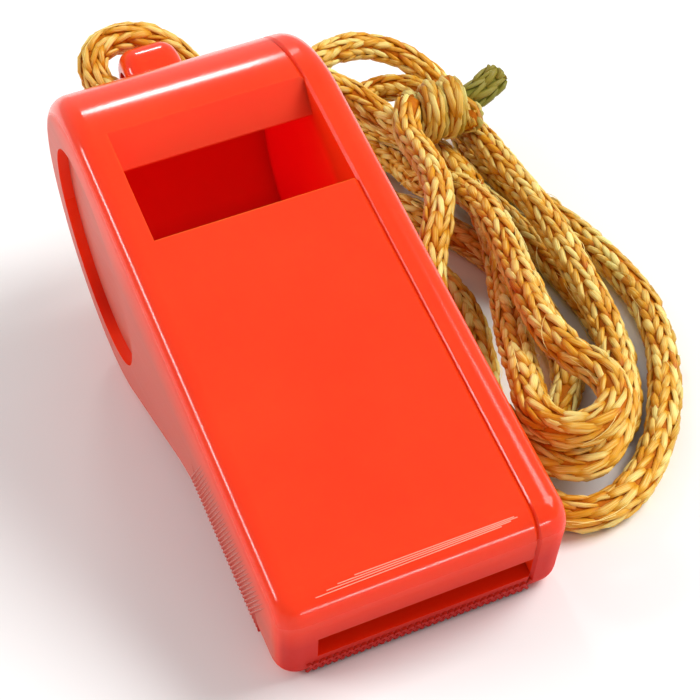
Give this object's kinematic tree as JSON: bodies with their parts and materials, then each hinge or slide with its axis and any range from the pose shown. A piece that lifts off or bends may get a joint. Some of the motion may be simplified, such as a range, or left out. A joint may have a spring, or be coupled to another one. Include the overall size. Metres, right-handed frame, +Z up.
{
  "type": "sports whistle",
  "caption": "Pea whistle with a round barrel, open window, flat mouthpiece and a knotted neck cord gathered in a loose hank beside it.",
  "frame": {"origin": "on the table below the middle of the whistle without its cord", "axes": "+X towards the blowing end, +Y towards the bonded side cover and the cord, +Z up; the whistle lies on its barrel and lip"},
  "size_m": [0.0705, 0.0415, 0.0252],
  "materials": {
    "body_plastic": "glossy moulded styrene in orange red",
    "cork": "plain cork ball",
    "cord": "knitted synthetic cord in straw yellow"
  },
  "bodies": {
    "whistle": {"body_shell": "body_plastic", "side_cover": "body_plastic", "cord_eye": "cord", "cord_lead": "cord", "cord_hank": "cord", "cord_return": "cord", "cord_knot": "cord", "cord_tail": "cord"},
    "pea": {"pea": "cork"}
  },
  "joints": [
    {"name": "pea_orbit", "type": "hinge", "parent": "whistle", "child": "pea", "pos_m": [-0.01179, 0, 0.0126], "axis": [0, 1, 0], "continuous": true}
  ]
}
